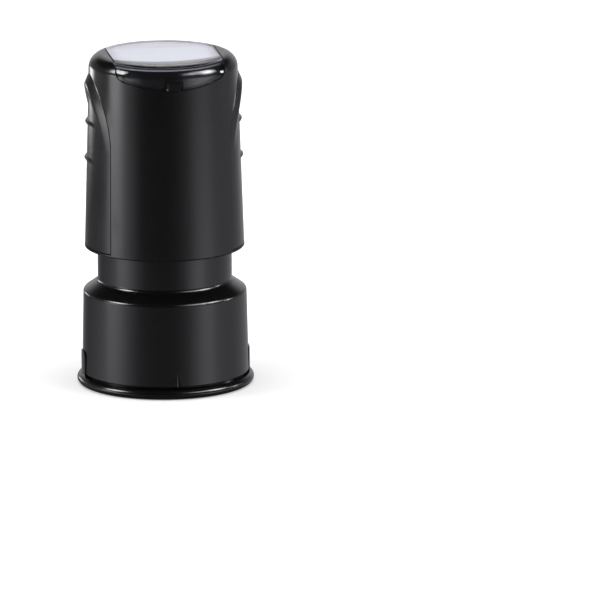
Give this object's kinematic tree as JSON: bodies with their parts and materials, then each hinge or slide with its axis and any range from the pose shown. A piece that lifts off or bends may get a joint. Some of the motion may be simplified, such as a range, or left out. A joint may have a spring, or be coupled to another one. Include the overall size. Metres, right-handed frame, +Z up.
{
  "type": "round pre-inked stamp",
  "caption": "Round pre-inked hand stamp: sprung tapered handle with side grips and a clear index window, on a skirted base standing in a dust cap, with an inked foam die inside.",
  "frame": {"origin": "middle of the dust cap's underside", "axes": "+Z up along the stamp's axis, the front with the pointer looks along -Y, the side grips face -X and +X"},
  "size_m": [0.037, 0.037, 0.0701],
  "materials": {
    "black_plastic": "satin",
    "grip_black": "satin",
    "clear_plastic": "clear gloss",
    "card": "uncoated",
    "spring_steel": "bright drawn wire",
    "ivory_plastic": "satin",
    "grey_plastic": "satin",
    "ink_felt": "soaked felt",
    "die_foam": "fine porous foam"
  },
  "bodies": {
    "cap": {"dust_cap": "black_plastic"},
    "base": {"base_body": "black_plastic", "return_spring": "spring_steel"},
    "handle": {"handle_shell": "black_plastic", "grip_left": "grip_black", "grip_right": "grip_black"},
    "window": {"index_window": "clear_plastic", "index_card": "card"},
    "screw": {"adjusting_screw": "ivory_plastic", "screw_clip": "spring_steel"},
    "plunger": {"plunger": "ivory_plastic", "die_holder": "grey_plastic", "ink_reservoir": "ink_felt", "printing_die": "die_foam", "clamp_ring": "grey_plastic"}
  },
  "joints": [
    {"name": "stamp_lift", "type": "slide", "parent": "cap", "child": "base", "axis": [0, 0, 1], "range_m": [0, 0.016]},
    {"name": "handle_press", "type": "slide", "parent": "base", "child": "handle", "axis": [0, 0, -1], "range_m": [0, 0.0056], "stiffness_N_per_m": 450, "springref_m": -0.01, "deforming": ["return_spring"]},
    {"name": "window_lift", "type": "slide", "parent": "handle", "child": "window", "axis": [0, 0, 1], "range_m": [0, 0.012]},
    {"name": "screw_turn", "type": "hinge", "parent": "handle", "child": "screw", "pos_m": [0, 0, 0.065], "axis": [0, 0, 1], "range_deg": [-257.2, 257.2]},
    {"name": "plunger_adjust", "type": "slide", "parent": "handle", "child": "plunger", "axis": [0, 0, -1], "range_m": [-0.0005, 0.0005]}
  ],
  "couplings": [
    {"joint": "screw_turn", "follows": "plunger_adjust", "rad_per_m": 8976}
  ]
}
